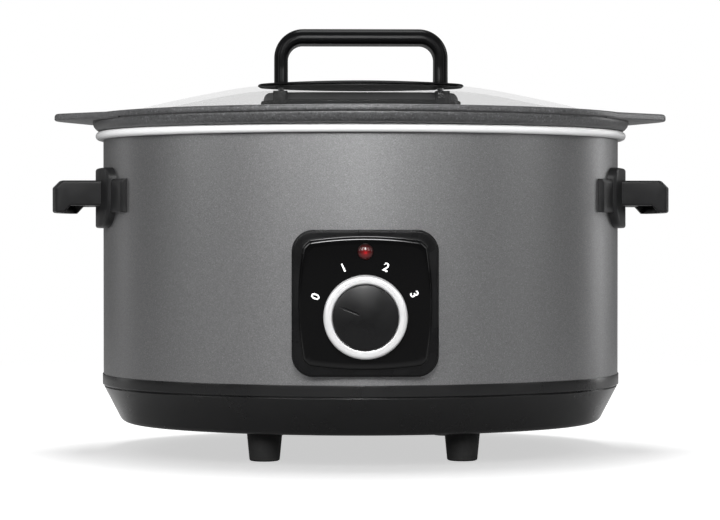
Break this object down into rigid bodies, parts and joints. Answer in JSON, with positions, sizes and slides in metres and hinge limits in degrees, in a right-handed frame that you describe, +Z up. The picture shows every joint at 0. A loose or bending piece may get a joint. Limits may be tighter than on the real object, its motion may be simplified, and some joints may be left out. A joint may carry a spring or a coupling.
{
  "type": "slow cooker",
  "caption": "Oval slow cooker: painted steel body on a black base, lift-out pot with ear handles, glass lid with arch handle, rotary heat control.",
  "frame": {"origin": "bottom centre of the object, on the surface its feet stand on", "axes": "+Z up; the control panel faces -Y; +X is to the right seen from the front"},
  "size_m": [0.399, 0.2981, 0.272],
  "materials": {
    "wrap_paint": "satin metallic charcoal",
    "bright_steel": "polished",
    "plain_steel": "zinc plated",
    "black_gloss": "gloss",
    "black_satin": "fine satin",
    "foot_rubber": "matt",
    "alu_plain": "mill",
    "pot_coating": "speckled non-stick coating over cast aluminium",
    "heater_mica": "mica laminate",
    "terminal_ceramic": "matt",
    "lens_red": "clear red moulding",
    "lamp_glass": "neon lamp",
    "lid_glass": "clear tempered",
    "wire_brown": "silicone sleeve",
    "wire_blue": "silicone sleeve",
    "wire_green": "silicone sleeve",
    "fuse_brass": "plain",
    "gasket_rubber": "matt silicone"
  },
  "bodies": {
    "base": {"outer_wrap": "wrap_paint", "heating_well": "bright_steel", "base_skirt": "black_gloss", "bottom_cover": "black_satin", "feet": "foot_rubber", "foot_screws": "plain_steel", "foot_nuts": "plain_steel", "cover_screws": "plain_steel", "base_strap": "plain_steel", "centre_stud": "plain_steel", "centre_nut": "plain_steel", "spacer_sleeves": "plain_steel", "heat_reflector": "alu_plain", "heater_band": "heater_mica", "heater_straps": "plain_steel", "thermal_fuse": "fuse_brass", "fuse_clip": "plain_steel", "control_panel": "black_gloss", "switch_plate": "plain_steel", "panel_screws": "plain_steel", "rotary_switch": "black_satin", "switch_nut": "plain_steel", "indicator_lens": "lens_red", "neon_lamp": "lamp_glass", "left_handle": "black_satin", "right_handle": "black_satin", "handle_backings": "plain_steel", "handle_screws": "plain_steel", "terminal_block": "terminal_ceramic", "cord_gland": "black_satin", "live_wire": "wire_brown", "neutral_wire": "wire_blue", "earth_wire": "wire_green"},
    "knob": {"switch_shaft": "plain_steel", "knob_cap": "black_satin", "knob_ring": "bright_steel"},
    "pot": {"cooking_pot": "pot_coating"},
    "lid": {"lid_glass": "lid_glass", "lid_rim_band": "bright_steel", "handle_gasket": "gasket_rubber", "lid_handle_plate": "black_satin", "lid_handle": "black_gloss", "handle_retainer": "black_satin", "lid_washers": "plain_steel", "lid_screws": "plain_steel"}
  },
  "joints": [
    {"name": "knob_turn", "type": "hinge", "parent": "base", "child": "knob", "pos_m": [0, -0.142, 0.09], "axis": [0, 1, 0], "range_deg": [0, 135]},
    {"name": "pot_lift", "type": "slide", "parent": "base", "child": "pot", "axis": [0, 0, 1], "range_m": [0, 0.18]},
    {"name": "lid_lift", "type": "slide", "parent": "pot", "child": "lid", "axis": [0, 0, 1], "range_m": [0, 0.1]}
  ]
}
